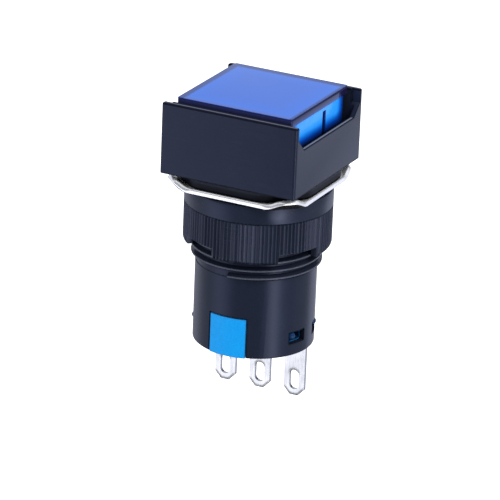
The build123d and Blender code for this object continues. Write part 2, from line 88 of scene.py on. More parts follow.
def blend(tree, factor, first, second, mode="MIX"):
    """Mixes two colours by a factor."""
    made = node(tree, "Mix", {0: factor, 6: first, 7: second}, data_type="RGBA", blend_type=mode)
    return made.outputs[2]


def band(tree, value, low, high, start=0.0, end=1.0):
    """Smooth step of a value from start at low to end at high."""
    inputs = {"Value": value, "From Min": low, "From Max": high, "To Min": start, "To Max": end}
    return node(tree, "MapRange", inputs, interpolation_type="SMOOTHSTEP").outputs["Result"]


def fade(tree, value, low, high):
    """Smooth step of a value from one at low to nothing at high."""
    return band(tree, value, low, high, 1.0, 0.0)


def largest(tree, *values):
    """Largest of numbers and sockets."""
    most, *others = values
    for other in others:
        most = maths(tree, "MAXIMUM", most, other)
    return most


def apart(tree, value, place=0.0):
    """How far a value lies from a place."""
    return maths(tree, "ABSOLUTE", maths(tree, "SUBTRACT", value, place))


world = bpy.data.worlds.new("light_tent")
bpy.context.scene.world = world
world.use_nodes = True
tent = world.node_tree
tent.nodes.clear()
heading = node(tent, "TexCoord").outputs["Generated"]
aim = node(tent, "SeparateXYZ", {0: heading})
turn = maths(tent, "ARCTAN2", aim.outputs["X"], maths(tent, "MULTIPLY", aim.outputs["Y"], -1.0))
turn = maths(tent, "MULTIPLY_ADD", turn, 0.5 / math.pi, 0.5)
# Below eye level the walls are dim, and dimmest beside the camera and behind on the
# left. On them lie these lights: the bearing of each one's middle, in degrees to the right of the front, how
# far to either side it is full, where it ends, and the brightness that it adds.
bearing = maths(tent, "MULTIPLY_ADD", turn, 360.0, -180.0)
beside_camera = fade(tent, apart(tent, bearing, 27.0), 9.0, 28.0)
behind_left = fade(tent, apart(tent, bearing, -134.0), 9.0, 26.0)
dimmest = largest(tent, beside_camera, behind_left)
wall = blend(tent, dimmest, (0.100, 0.100, 0.100, 1.0), (0.075, 0.075, 0.075, 1.0))
left_wall = (-86.0, 20.0, 50.0, (0.035, 0.035, 0.035))
pale_screen = (-40.0, 0.0, 34.0, (0.27, 0.27, 0.27))
warm_strip = (62.0, 0.0, 19.5, (0.835, 0.80, 0.68))
strip_glow = (78.0, 0.0, 20.0, (0.14, 0.14, 0.14))
right_wall = (95.0, 10.0, 50.0, (0.05, 0.05, 0.05))
cool_patch = (159.0, 0.0, 20.0, (0.060, 0.065, 0.080))
for middle, full, end, added in (left_wall, pale_screen, warm_strip, strip_glow, right_wall, cool_patch):
    reach = fade(tent, apart(tent, bearing, middle), full, end)
    wall = blend(tent, reach, wall, (*added, 1.0), "ADD")
wall = blend(tent, 1.0, wall, (6.1, 6.3, 7.6, 1.0), "MULTIPLY")
# The ceiling is pale, but low down it is shaded in front, where the camera stands,
# and in one narrow stretch behind the right-hand side.
shade = ramp(tent, turn, [
    (0.33, 0.0), (0.40, 1.0), (0.60, 1.0), (0.66, 0.0), (0.90, 0.0), (0.92, 1.0), (0.96, 1.0), (0.99, 0.0),
])
shade = maths(tent, "MULTIPLY", shade, fade(tent, aim.outputs["Z"], 0.55, 0.80))
sky = blend(tent, shade, (0.88, 0.92, 1.04, 1.0), (0.09, 0.10, 0.14, 1.0))
upper = band(tent, aim.outputs["Z"], -0.10, 0.12)
lower = fade(tent, aim.outputs["Z"], -0.85, -0.62)
gloss = blend(tent, lower, wall, (0.05, 0.05, 0.06, 1.0))
gloss = blend(tent, upper, gloss, sky)
path = node(tent, "LightPath").outputs
seen = blend(tent, path["Is Glossy Ray"], (0.56, 0.57, 0.58, 1.0), gloss)
clear = maths(tent, "MAXIMUM", path["Is Camera Ray"], path["Is Transmission Ray"])
seen = blend(tent, clear, seen, (1.0, 1.0, 1.0, 1.0))
shine = node(tent, "Background", {"Color": seen, "Strength": 1.0})
node(tent, "OutputWorld", {"Surface": shine.outputs[0]})

bpy.ops.mesh.primitive_plane_add(size=3.0, location=(0, 0, -0.2))
floor = bpy.context.object
floor.name = "floor"
floor.visible_glossy = False
floor.visible_transmission = False
paper = bpy.data.materials.new("floor_paper")
paper.use_nodes = True
sheet = paper.node_tree
sheet.nodes.clear()
fibre = node(sheet, "TexNoise", {"Vector": node(sheet, "TexCoord").outputs["Object"], "Scale": 60.0})
tone = ramp(sheet, fibre.outputs["Fac"], [(0.3, 0.86), (0.7, 0.90)])
matt = node(sheet, "BsdfDiffuse", {"Color": tone})
straight = node(sheet, "LightPath").outputs["Is Camera Ray"]
glow = node(sheet, "Emission", {"Color": (1, 1, 1, 1), "Strength": straight})
lit = node(sheet, "AddShader", {0: matt.outputs[0], 1: glow.outputs[0]})
open_back = node(sheet, "MixShader", {
    0: node(sheet, "NewGeometry").outputs["Backfacing"], 1: lit.outputs[0],
    2: node(sheet, "BsdfTransparent").outputs[0],
})
node(sheet, "OutputMaterial", {"Surface": open_back.outputs[0]})
floor.data.materials.append(paper)


def lamp(name, azimuth, elevation, distance, width, height, watts):
    """Soft rectangular lamp that faces the switch from one direction."""
    data = bpy.data.lights.new(name, "AREA")
    data.shape, data.size, data.size_y, data.energy = "RECTANGLE", width, height, watts
    made = bpy.data.objects.new(name, data)
    bpy.context.collection.objects.link(made)
    a, e = math.radians(azimuth), math.radians(elevation)
    back = np.array([math.sin(a) * math.cos(e), -math.cos(a) * math.cos(e), math.sin(e)])
    made.location = (back * distance).tolist()
    made.rotation_euler = (math.pi / 2 - e, 0, a)
    made.visible_glossy = False
    return made


lamp("key_lamp", 75, 45, 0.9, 0.5, 0.5, 4.5)
lamp("fill_lamp", -40, 30, 1.0, 0.6, 0.6, 2.0)

camera = bpy.data.objects.new("camera", bpy.data.cameras.new("camera"))
bpy.context.collection.objects.link(camera)
bpy.context.scene.camera = camera
camera.data.sensor_width = 36.0
camera.data.lens = 298.61
camera.data.clip_start = 0.01
camera.data.clip_end = 10.0
stand_az, stand_el, stand = math.radians(25.939), math.radians(19.909), 0.5
az, el, roll = math.radians(26.038), math.radians(21.090), math.radians(2.330)
back = np.array([math.sin(az) * math.cos(el), -math.cos(az) * math.cos(el), math.sin(el)])
across = np.array([math.cos(az), math.sin(az), 0.0])
upward = np.cross(back, across)
side = across * math.cos(roll) + upward * math.sin(roll)
head = -across * math.sin(roll) + upward * math.cos(roll)
camera.rotation_mode = "QUATERNION"
camera.rotation_quaternion = Matrix(np.stack([side, head, back], 1).tolist()).to_quaternion()
camera.location = [
    stand * math.sin(stand_az) * math.cos(stand_el),
    -stand * math.cos(stand_az) * math.cos(stand_el),
    stand * math.sin(stand_el),
]
bpy.context.scene.view_settings.view_transform = "Standard"


# ---- housing ----------------------------------------------------------------
# The square head, threaded neck and barrel, injection moulded in one piece of
# black glass-filled nylon. The tool leaves a fine satin grain on it, and handling
# leaves a few faint scuffs.
mm = 0.001


def group(name, inputs, outputs):
    """Empty shader node group with float, colour or vector sockets; returns its tree and ends."""
    kinds = {"f": "NodeSocketFloat", "c": "NodeSocketColor", "v": "NodeSocketVector"}
    tree = bpy.data.node_groups.new(name, "ShaderNodeTree")
    for key, kind in inputs:
        tree.interface.new_socket(key, in_out="INPUT", socket_type=kinds[kind])
    for key, kind in outputs:
        tree.interface.new_socket(key, in_out="OUTPUT", socket_type=kinds[kind])
    return tree, tree.nodes.new("NodeGroupInput").outputs, tree.nodes.new("NodeGroupOutput").inputs


def placed(tree, made, **inputs):
    """Puts a finished node group into a material."""
    here = tree.nodes.new("ShaderNodeGroup")
    here.node_tree = made
    for key, value in inputs.items():
        socket = here.inputs[key.replace("_", " ")]
        if isinstance(value, bpy.types.NodeSocket):
            tree.links.new(value, socket)
        else:
            socket.default_value = value
    return here.outputs


def product(tree, *values):
    """Product of numbers and sockets."""
    total, *others = values
    for other in others:
        total = maths(tree, "MULTIPLY", total, other)
    return total


def point(tree):
    """Place of the shaded point and its surface normal, each as its X, Y and Z."""
    place = node(tree, "SeparateXYZ", {0: node(tree, "TexCoord").outputs["Object"]})
    facing = node(tree, "SeparateXYZ", {0: node(tree, "NewGeometry").outputs["Normal"]})
    return place.outputs, facing.outputs


# Moulded skin: two sizes of grain make the height, a slow cloud mixes the two
# colours, and the grain and the cloud together set the roughness.
skin, given, result = group(
    "moulded_skin",
    [("Light", "c"), ("Dark", "c"), ("Grain", "f"), ("Cloud", "f"), ("Smooth", "f"), ("Rough", "f")],
    [("Colour", "c"), ("Roughness", "f"), ("Height", "f")],
)
place = node(skin, "TexCoord").outputs["Object"]
fine = node(skin, "TexNoise", {"Vector": place, "Scale": given["Grain"], "Detail": 3.0, "Roughness": 0.6})
slow = node(skin, "TexNoise", {"Vector": place, "Scale": given["Cloud"], "Detail": 4.0, "Roughness": 0.55})
cells = node(skin, "TexVoronoi", {"Vector": place, "Scale": given["Grain"]})
cloud = ramp(skin, slow.outputs["Fac"], [(0.30, 0.0), (0.70, 1.0)])
tint = blend(skin, cloud, given["Dark"], given["Light"])
speck = ramp(skin, fine.outputs["Fac"], [(0.35, 0.86), (0.65, 1.14)])
tint = blend(skin, 0.5, tint, blend(skin, 1.0, tint, speck, "MULTIPLY"))
skin.links.new(tint, result["Colour"])
even = maths(skin, "MULTIPLY", slow.outputs["Fac"], 0.4)
even = maths(skin, "MULTIPLY_ADD", fine.outputs["Fac"], 0.6, even)
span = maths(skin, "SUBTRACT", given["Rough"], given["Smooth"])
skin.links.new(maths(skin, "MULTIPLY_ADD", even, span, given["Smooth"]), result["Roughness"])
pits = maths(skin, "MULTIPLY_ADD", cells.outputs["Distance"], 0.5, fine.outputs["Fac"])
skin.links.new(pits, result["Height"])

# Scuffs: long thin streaks, where a stretched noise passes a narrow band, kept
# only inside patches of a slower noise.
scuff, given, result = group("scuffs", [("Turn", "v"), ("Scale", "f"), ("Amount", "f")], [("Mask", "f")])
place = node(scuff, "TexCoord").outputs["Object"]
laid = node(scuff, "Mapping", {"Vector": place, "Rotation": given["Turn"], "Scale": (0.06, 1.0, 1.0)})
hair = node(scuff, "TexNoise", {"Vector": laid.outputs[0], "Scale": given["Scale"], "Detail": 2.0})
line = ramp(scuff, hair.outputs["Fac"], [(0.46, 0.0), (0.50, 1.0), (0.54, 0.0)])
area = node(scuff, "TexNoise", {"Vector": place, "Scale": 260.0, "Detail": 2.0})
patch = ramp(scuff, area.outputs["Fac"], [(0.52, 0.0), (0.68, 1.0)])
scuff.links.new(product(scuff, line, patch, given["Amount"]), result["Mask"])

# Edge strips: the strips beside an edge, where a normal that is rounded over the radius
# leaves the true one. The materials paint shade along these strips.
edge_strips, given, result = group("edge_strip_mask", [("Radius", "f")], [("Mask", "f"), ("Normal", "v")])
soft = node(edge_strips, "Bevel", {"Radius": given["Radius"]}, samples=6).outputs[0]
true = node(edge_strips, "NewGeometry").outputs["Normal"]
flat = node(edge_strips, "VectorMath", {0: soft, 1: true}, operation="DOT_PRODUCT")
edge_strips.links.new(fade(edge_strips, flat.outputs["Value"], 0.90, 0.985), result["Mask"])
edge_strips.links.new(soft, result["Normal"])


def finish(name):
    """New material with a bare Principled shader; returns the material, its tree and the shader."""
    made = bpy.data.materials.new(name)
    made.use_nodes = True
    tree = made.node_tree
    tree.nodes.clear()
    shader = node(tree, "BsdfPrincipled")
    node(tree, "OutputMaterial", {"Surface": shader.outputs[0]})
    return made, tree, shader


def connect(tree, shader, **sockets):
    """Links or sets sockets of a shader by name."""
    for key, value in sockets.items():
        socket = shader.inputs[key.replace("_", " ")]
        if isinstance(value, bpy.types.NodeSocket):
            tree.links.new(value, socket)
        else:
            socket.default_value = value


def relief(tree, height, depth):
    """Bump of a height whose full range is depth metres."""
    return node(tree, "Bump", {"Height": height, "Distance": depth, "Strength": 1.0}).outputs[0]


def moulding(name, light, dark, grain, depth, smooth, rough, scuff_and_highlight, ior, tint):
    """Satin moulded plastic: grained skin with faint scuffs worn paler. Returns the material, its
    tree, its shader, its colour and its roughness."""
    made, tree, shader = finish(name)
    body = placed(
        tree, skin, Light=(*light, 1), Dark=(*dark, 1), Grain=grain, Cloud=420.0, Smooth=smooth, Rough=rough,
    )
    first = placed(tree, scuff, Turn=(0.3, 0.5, 0.4), Scale=2600.0, Amount=0.5)
    second = placed(tree, scuff, Turn=(1.2, 0.2, 2.1), Scale=2100.0, Amount=0.4)
    worn = largest(tree, first["Mask"], second["Mask"])
    colour = blend(tree, worn, body["Colour"], (*scuff_and_highlight, 1))
    roughness = maths(tree, "MULTIPLY_ADD", worn, 0.12, body["Roughness"])
    connect(tree, shader, Base_Color=colour, Roughness=roughness, Normal=relief(tree, body["Height"], depth))
    connect(tree, shader, IOR=ior, Specular_Tint=(*tint, 1))
    return made, tree, shader, colour, roughness


def dressed(nodes, name, material, sharp=35.0, bevel=0.0, rides="housing_body"):
    """Copy of a CAD solid with its triangles welded, its flats joined where its edges are bevelled,
    and smooth shading between creases."""
    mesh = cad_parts[nodes].data.copy()
    mesh.name = name
    weld = bmesh.new()
    weld.from_mesh(mesh)
    bmesh.ops.remove_doubles(weld, verts=weld.verts, dist=2e-7)
    if bevel:
        bmesh.ops.dissolve_limit(weld, angle_limit=math.radians(0.5), verts=weld.verts, edges=weld.edges)
    weld.to_mesh(mesh)
    weld.free()
    if "custom_normal" in mesh.attributes:
        mesh.attributes.remove(mesh.attributes["custom_normal"])
    mesh.materials.clear()
    mesh.materials.append(material)
    mesh.shade_smooth()
    mesh.set_sharp_from_angle(angle=math.radians(sharp))
    piece = bpy.data.objects.new(name, mesh)
    bpy.context.collection.objects.link(piece)
    if bevel:
        rim = piece.modifiers.new("broken_edges", "BEVEL")
        rim.width, rim.segments, rim.limit_method = bevel, 2, "ANGLE"
        rim.angle_limit, rim.harden_normals = math.radians(sharp), True
    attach(piece, rides)
    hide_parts(nodes)
    return piece


black_plastic, tree, shader, colour, roughness = moulding(
    "black_satin_nylon", (0.0112, 0.0164, 0.0315), (0.0096, 0.0147, 0.0285), 5200.0, 1e-6,
    0.16, 0.26, (0.018, 0.024, 0.044), 1.27, (0.66, 0.70, 1.0),
)
# The parting edges and the shroud's rim are dull and painted dark, a painted shade along the
# edges, and so are the tops of the shroud's walls, but for a painted highlight along their middle,
# paler in the finger notches. The crest of the thread and the notches' slopes get painted highlights
# too, and the insides of the walls are painted paler, as painted light on them.
head_half, _, head_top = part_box("housing")[1]
thread_r, thread_end = 8.0 * mm, -8.5 * mm
place, facing = point(tree)
high = band(tree, place["Z"], head_top - 1.3 * mm, head_top - 0.5 * mm)
from_x = apart(tree, apart(tree, place["X"]), head_half - 0.30 * mm)
from_y = apart(tree, apart(tree, place["Y"]), head_half - 0.42 * mm)
line_x = product(tree, fade(tree, from_x, 0.07 * mm, 0.17 * mm), maths(tree, "SUBTRACT", 1.0, high))
line_y = product(tree, fade(tree, from_y, 0.08 * mm, 0.20 * mm), high)
# Painted highlight colour for the line along the wall tops, paler down in the finger notches.
above_notch = band(tree, place["Z"], head_top - 3.1 * mm, head_top - 2.9 * mm)
scuff_and_highlight = blend(tree, above_notch, (0.24, 0.26, 0.29, 1), (0.125, 0.134, 0.180, 1))
ridge = blend(tree, largest(tree, line_x, line_y), (0.0070, 0.0090, 0.0200, 1), scuff_and_highlight)
level = band(tree, facing["Z"], 0.80, 0.95)
top = product(tree, level, band(tree, place["Z"], head_top - 5.4 * mm, head_top - 4.4 * mm))
low = fade(tree, place["Z"], head_top - 1.90 * mm, head_top - 1.78 * mm)
slope = product(tree, band(tree, facing["Z"], 0.50, 0.64), maths(tree, "SUBTRACT", low, level, clamp=True))
around = maths(tree, "ADD", product(tree, place["X"], place["X"]), product(tree, place["Y"], place["Y"]))
around = maths(tree, "SQRT", around)
crest = band(tree, around, thread_r - 0.08 * mm, thread_r - 0.02 * mm)
crest = product(tree, crest, fade(tree, place["Z"], thread_end - 0.5 * mm, thread_end))
# Painted light: the insides of the walls are made paler.
inward = product(tree, facing["Y"], place["Y"], -1 / mm)
painted_inner_light = product(
    tree, band(tree, inward, 2.0, 5.0), band(tree, place["Z"], head_top - 5.9 * mm, head_top - 4.9 * mm),
)
brim = band(tree, place["Z"], head_top - 0.26 * mm, head_top - 0.18 * mm)
edge = largest(tree, placed(tree, edge_strips, Radius=0.30 * mm)["Mask"], brim)
# Painted highlights on the notches' slopes and on the thread's crest.
colour = blend(tree, slope, colour, (0.045, 0.050, 0.070, 1))
colour = blend(tree, crest, colour, (0.110, 0.120, 0.160, 1))
colour = blend(tree, painted_inner_light, colour, (0.020, 0.026, 0.048, 1))
colour = blend(tree, top, colour, ridge)
# Painted shade: the strips beside the edges and along the rim go dark.
painted_edge_shade = product(tree, edge, maths(tree, "SUBTRACT", 1.0, top))
colour = blend(tree, painted_edge_shade, colour, (0.0035, 0.0050, 0.0130, 1))
dull = product(tree, largest(tree, edge, top), 0.80)
connect(tree, shader, Base_Color=colour, Roughness=largest(tree, roughness, dull))
dressed("housing", "housing_moulding", black_plastic, bevel=0.05 * mm)


# ---- terminal base ------------------------------------------------------------
# Blue moulded block that snaps into the barrel with four teeth and carries the
# three terminals. Its tab fills the slot at the front of the barrel.
base_plastic, tree, shader, colour, _ = moulding(
    "blue_nylon", (0.004, 0.385, 0.97), (0.002, 0.355, 0.93), 4200.0, 1.5e-6,
    0.26, 0.40, (0.02, 0.41, 0.97), 1.27, (0.8, 0.9, 1.0),
)
# The teeth and the body behind the windows are painted a deeper blue than the tab, a painted
# shade inside the barrel's windows, and a painted shade of darker blue runs along the edges.
base_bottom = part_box("terminal_base")[0][2]
place, _ = point(tree)
beside = band(tree, apart(tree, place["X"]), 2.6 * mm, 3.0 * mm)
over = band(tree, place["Z"], base_bottom + 1.0 * mm, base_bottom + 1.3 * mm)
colour = blend(tree, product(tree, beside, over), colour, (0.004, 0.030, 0.100, 1))
colour = blend(tree, placed(tree, edge_strips, Radius=0.25 * mm)["Mask"], colour, (0.030, 0.230, 0.560, 1))
connect(tree, shader, Base_Color=colour)
dressed("terminal_base", "base_moulding", base_plastic, bevel=0.06 * mm)


# ---- terminals ------------------------------------------------------------------
# Three brass solder tabs, blanked from 0.5 mm strip and tin plated. The coined
# blade above each shoulder is pressed up through the base.

# Plating: a slow cloud varies the polish, fine lines follow the rolling of the
# strip, and small grey freckles dull it.
plate, given, result = group(
    "plating",
    [("Bright", "c"), ("Dull", "c"), ("Along", "v"), ("Grain", "f"), ("Smooth", "f"), ("Rough", "f")],
    [("Colour", "c"), ("Roughness", "f"), ("Height", "f")],
)
place = node(plate, "TexCoord").outputs["Object"]
cloud = node(plate, "TexNoise", {"Vector": place, "Scale": 500.0, "Detail": 5.0, "Roughness": 0.6})
laid = node(plate, "Mapping", {"Vector": place, "Scale": given["Along"]})
lines = node(plate, "TexNoise", {"Vector": laid.outputs[0], "Scale": given["Grain"], "Detail": 3.0})
freckle = node(plate, "TexVoronoi", {"Vector": place, "Scale": 2300.0})
dots = ramp(plate, freckle.outputs["Distance"], [(0.10, 1.0), (0.24, 0.0)])
mixed = maths(plate, "MULTIPLY", lines.outputs["Fac"], 0.4)
mixed = maths(plate, "MULTIPLY_ADD", cloud.outputs["Fac"], 0.6, mixed)
worn = ramp(plate, mixed, [(0.40, 0.0), (0.66, 1.0)])
worn = maths(plate, "MULTIPLY_ADD", dots, 0.35, worn, clamp=True)
plate.links.new(blend(plate, worn, given["Bright"], given["Dull"]), result["Colour"])
span = maths(plate, "SUBTRACT", given["Rough"], given["Smooth"])
plate.links.new(maths(plate, "MULTIPLY_ADD", mixed, span, given["Smooth"]), result["Roughness"])
plate.links.new(lines.outputs["Fac"], result["Height"])


def plated(name, bright, dull, along, grain, depth, smooth, rough, metal=1.0, cut=None, under=None):
    """Metal with a plated or drawn surface. A cut colour dulls the faces that look along X or Z,
    which on a part blanked from upright strip are the sheared ones, and with it a painted shade
    darkens the strip along the lower edges below them. An under colour is a painted shade on the
    faces that look down."""
    made, tree, shader = finish(name)
    coat = placed(
        tree, plate, Bright=(*bright, 1), Dull=(*dull, 1), Along=along, Grain=grain,
        Smooth=smooth, Rough=rough,
    )
    colour = coat["Colour"]
    _, facing = point(tree)
    if cut:
        sheared = fade(tree, apart(tree, facing["Y"]), 0.55, 0.90)
        colour = blend(tree, sheared, colour, (*cut, 1))
        # Painted shade along the lower edges, where the rounded normal turns down.
        soft = node(tree, "SeparateXYZ", {0: placed(tree, edge_strips, Radius=0.7 * mm)["Normal"]})
        lower_edge_shade = fade(tree, soft.outputs["Z"], -0.24, -0.08)
        colour = blend(tree, lower_edge_shade, colour, (0.05, 0.05, 0.05, 1))
    if under:
        # Painted shade on the faces that look down.
        colour = blend(tree, fade(tree, facing["Z"], -0.55, -0.20), colour, (*under, 1))
    connect(tree, shader, Base_Color=colour, Roughness=coat["Roughness"], Metallic=metal)
    connect(tree, shader, Normal=relief(tree, coat["Height"], depth))
    return made


# With the cut colour comes a painted shade along the tabs' lower edges.
tin = plated(
    "tinned_brass", (0.64, 0.63, 0.58), (0.48, 0.475, 0.445), (6.0, 6.0, 0.5), 1500.0, 5e-6, 0.16, 0.38,
    cut=(0.36, 0.36, 0.35),
)
for which in ("common", "no", "nc"):
    dressed("terminal_" + which, "solder_tab_" + which, tin, bevel=0.08 * mm)


# ---- contacts -----------------------------------------------------------------------
# A phosphor bronze arm rocks on the middle terminal's ridge. Silver rivets under
# its ends meet the domed silver contacts riveted to the two outer terminals.
def painted(which, material):
    """Gives a CAD solid, shown as it is, its material."""
    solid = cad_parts[which].data
    solid.materials.clear()
    solid.materials.append(material)


bronze = plated(
    "rolled_bronze", (0.80, 0.54, 0.30), (0.62, 0.38, 0.20), (0.4, 5.0, 5.0), 1400.0, 4e-6, 0.20, 0.40,
)
silver = plated(
    "contact_silver", (0.90, 0.89, 0.86), (0.66, 0.64, 0.60), (1.0, 1.0, 1.0), 2600.0, 4e-6, 0.18, 0.42,
)
painted("contact_arm", bronze)
for which in ("fixed_contact_no", "fixed_contact_nc", "moving_contact_no", "moving_contact_nc"):
    painted(which, silver)


# ---- springs -----------------------------------------------------------------------
# Three coils of drawn spring wire: one lifts the button, one in the plunger's foot
# presses on the arm, and one rocks the arm back. The end turns are closed up.
def skinned(name, grid, material, rides, ends=True, sharp=35.0):
    """Mesh through a grid of points. Rows run along the piece and columns round it; the last column
    meets the first. Each end row is closed by a fan to its mean, or with ends=False the last row
    meets the first, as on a ring."""
    rows, cols = grid.shape[:2]
    points = grid.reshape(-1, 3)
    count = rows - 1 if ends else rows
    i, j = np.meshgrid(np.arange(count), np.arange(cols), indexing="ij")
    k, n = (j + 1) % cols, (i + 1) % rows
    faces = np.stack([i * cols + j, i * cols + k, n * cols + k, n * cols + j], -1).reshape(-1, 4).tolist()
    if ends:
        points = np.vstack([points, grid[0].mean(0), grid[-1].mean(0)])
        a = np.arange(cols)
        b, last, tip = (a + 1) % cols, (rows - 1) * cols, rows * cols
        faces += np.stack([b, a, np.full(cols, tip)], -1).tolist()
        faces += np.stack([last + a, last + b, np.full(cols, tip + 1)], -1).tolist()
    mesh = bpy.data.meshes.new(name)
    mesh.from_pydata(points.tolist(), [], faces)
    turned = bmesh.new()
    turned.from_mesh(mesh)
    bmesh.ops.recalc_face_normals(turned, faces=turned.faces)
    turned.to_mesh(mesh)
    turned.free()
    mesh.materials.append(material)
    mesh.shade_smooth()
    mesh.set_sharp_from_angle(angle=math.radians(sharp))
    piece = bpy.data.objects.new(name, mesh)
    bpy.context.collection.objects.link(piece)
    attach(piece, rides)
    return piece


def coil(box, wire, turns, dead=0.9):
    """Points round the wire of a helix that fills a box. The angle runs evenly; the height stays flat
    for the dead turns at each end and rises evenly between them, eased where the two meet."""
    low, high = np.array(box[0]), np.array(box[1])
    radius = (high[0] - low[0]) / 2 - wire / 2
    centre = (low + high) / 2
    t = np.linspace(0, turns, int(turns * 40) + 1)
    rise = np.clip((t - dead) / (turns - 2 * dead), 0, 1)
    rise = rise + 0.03 * np.sin(2 * np.pi * rise)
    end = low[2] + wire / 2
    tall = high[2] - low[2] - wire
    closed = wire * 0.98 * np.minimum(np.clip(t, 0, dead), dead) / dead
    closing = wire * 0.98 * np.clip(t - (turns - dead), 0, dead) / dead
    z = end + closed + closing + rise * (tall - 2 * 0.98 * wire)
    a = 2 * np.pi * t
    line = np.stack([centre[0] + radius * np.cos(a), centre[1] + radius * np.sin(a), z], -1)
    along = np.gradient(line, axis=0)
    along /= np.linalg.norm(along, axis=1, keepdims=True)
    out = np.stack([np.cos(a), np.sin(a), 0 * a], -1)
    out -= (out * along).sum(1, keepdims=True) * along
    out /= np.linalg.norm(out, axis=1, keepdims=True)
    over = np.cross(along, out)
    b = np.linspace(0, 2 * np.pi, 12, endpoint=False)[None, :, None]
    return line[:, None] + wire / 2 * (np.cos(b) * out[:, None] + np.sin(b) * over[:, None])


steel = plated(
    "spring_wire", (0.70, 0.70, 0.72), (0.42, 0.42, 0.44), (1.0, 1.0, 1.0), 3000.0, 3e-6, 0.20, 0.40,
)
for which, wire, turns, joint, keep in (
    ("return_spring", 0.5 * mm, 6.5, "button_press", 0.63),
    ("drive_spring", 0.25 * mm, 9.0, "button_press", 0.52),
    ("bias_spring", 0.2 * mm, 5.0, "contact_swing", 0.77),
):
    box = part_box(which)
    spring = skinned(which + "_coil", coil(box, wire, turns), steel, "housing_body", sharp=80)
    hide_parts(which)
    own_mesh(spring)


# ---- plunger ----------------------------------------------------------------------
# Black acetal stem that slides in the neck's square guide. Its flange sits on the
# return spring and its pin holds the button.
acetal, *_ = moulding(
    "black_acetal", (0.030, 0.031, 0.034), (0.022, 0.023, 0.026), 3600.0, 5e-6,
    0.28, 0.42, (0.07, 0.07, 0.075), 1.48, (1.0, 1.0, 1.0),
)
painted("plunger", acetal)


# ---- lens holder ------------------------------------------------------------------
# Translucent azure box pressed on the plunger's pin. It glows where light comes in
# through the lens and darkens towards its foot and corners and beside its two slots.
holder_box, holder_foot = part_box("lens_holder"), 4.9 * mm
azure, tree, shader = finish("translucent_azure")
body = placed(
    tree, skin, Light=(1.0, 1.0, 1.0, 1), Dark=(0.80, 0.90, 0.96, 1), Grain=2600.0, Cloud=300.0,
    Smooth=0.12, Rough=0.24,
)
place, _ = point(tree)
holder_half, slot_at, slot_top = holder_box[1][0], 1.8 * mm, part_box("lens")[1][2] - 1.7 * mm
foot = band(tree, place["Z"], holder_foot, holder_foot + 2.0 * mm)
from_middle = apart(tree, place["Y"])
corner = fade(tree, from_middle, 5.0 * mm, 7.4 * mm)
inside = band(tree, apart(tree, place["X"]), holder_half - 0.30 * mm, holder_half - 0.10 * mm)
flank = band(tree, from_middle, 3.0 * mm, 3.3 * mm)
lit = product(tree, foot, corner, largest(tree, inside, flank))
# On the right the slot lies behind the middle, and on the left before it.
beside = product(tree, place["X"], place["Y"], 1 / holder_half)
beside = fade(tree, apart(tree, beside, slot_at), 0.38 * mm, 0.52 * mm)
slit = product(tree, beside, fade(tree, place["Z"], slot_top - 0.05 * mm, slot_top + 0.10 * mm))
lit = product(tree, lit, maths(tree, "MULTIPLY_ADD", slit, -0.85, 1.0))
deep = ramp(tree, lit, [
    (0.0, (0.002, 0.008, 0.055)), (0.30, (0.003, 0.050, 0.36)), (0.62, (0.004, 0.16, 0.72)),
    (0.95, (0.030, 0.34, 1.0)),
])
deep = blend(tree, 1.0, deep, body["Colour"], "MULTIPLY")
connect(tree, shader, Base_Color=deep, Roughness=body["Roughness"], Normal=relief(tree, body["Height"], 1e-6))
connect(tree, shader, IOR=1.3, Emission_Color=deep, Emission_Strength=0.28)
dressed("lens_holder", "holder_box", azure, bevel=0.08 * mm, rides="button")


# ---- marking plate -----------------------------------------------------------------
# Matt white diffuser, cut from styrene sheet. It lies loose on the holder's ledge, and
# the lens holds it down.
white, *_ = moulding(
    "white_diffuser", (0.84, 0.87, 0.94), (0.78, 0.81, 0.90), 3000.0, 4e-6,
    0.42, 0.60, (0.9, 0.92, 0.96), 1.45, (1.0, 1.0, 1.0),
)
painted("marking_plate", white)


# ---- lens --------------------------------------------------------------------------
# Polished tinted cap, clipped into the holder by two legs. Its rim stands outside
# the lit plate, so the edge of the face and the sides look dark.
lens_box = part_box("lens")
half, lens_top = lens_box[1][0], lens_box[1][2]
cap, tree, shader = finish("tinted_lens")
place, _ = point(tree)
where = node(tree, "TexCoord").outputs["Object"]
slow = node(tree, "TexNoise", {"Vector": where, "Scale": 90.0, "Detail": 2.0})
near_x = apart(tree, place["X"])
near_y = apart(tree, place["Y"])
# Painted light: the face takes the colour of the lit plate seen through the cap, with a greyer band along the
# front edge and dark bands over the rim on the left, at the back and on the right.
out = band(tree, largest(tree, near_x, near_y), 0.45 * half, 0.95 * half)
face = blend(tree, out, (0.026, 0.143, 0.69, 1), (0.021, 0.163, 0.78, 1))
face = blend(tree, product(tree, slow.outputs["Fac"], 0.20), face, (0.026, 0.173, 0.70, 1))
left = fade(tree, place["X"], 0.70 * mm - half, 1.15 * mm - half)
rear = band(tree, place["Y"], half - 1.50 * mm, half - 0.85 * mm)
right = band(tree, place["X"], half - 0.62 * mm, half - 0.20 * mm)
near = fade(tree, place["Y"], 0.55 * mm - half, 0.95 * mm - half)
face = blend(tree, near, face, (0.060, 0.145, 0.58, 1))
face = blend(tree, largest(tree, left, rear, right), face, (0.018, 0.058, 0.27, 1))
level = band(tree, place["Z"], lens_top - 1.0 * mm, lens_top - 0.05 * mm)
front_flank = ramp(tree, level, [
    (0.0, (0.006, 0.008, 0.028)), (0.25, (0.014, 0.017, 0.056)), (0.55, (0.022, 0.026, 0.090)),
    (0.85, (0.022, 0.028, 0.110)), (1.0, (0.010, 0.016, 0.085)),
])
side_flank = ramp(tree, level, [
    (0.0, (0.03, 0.07, 0.28)), (0.3, (0.022, 0.036, 0.14)), (0.62, (0.018, 0.027, 0.10)),
    (0.80, (0.006, 0.010, 0.050)),
])
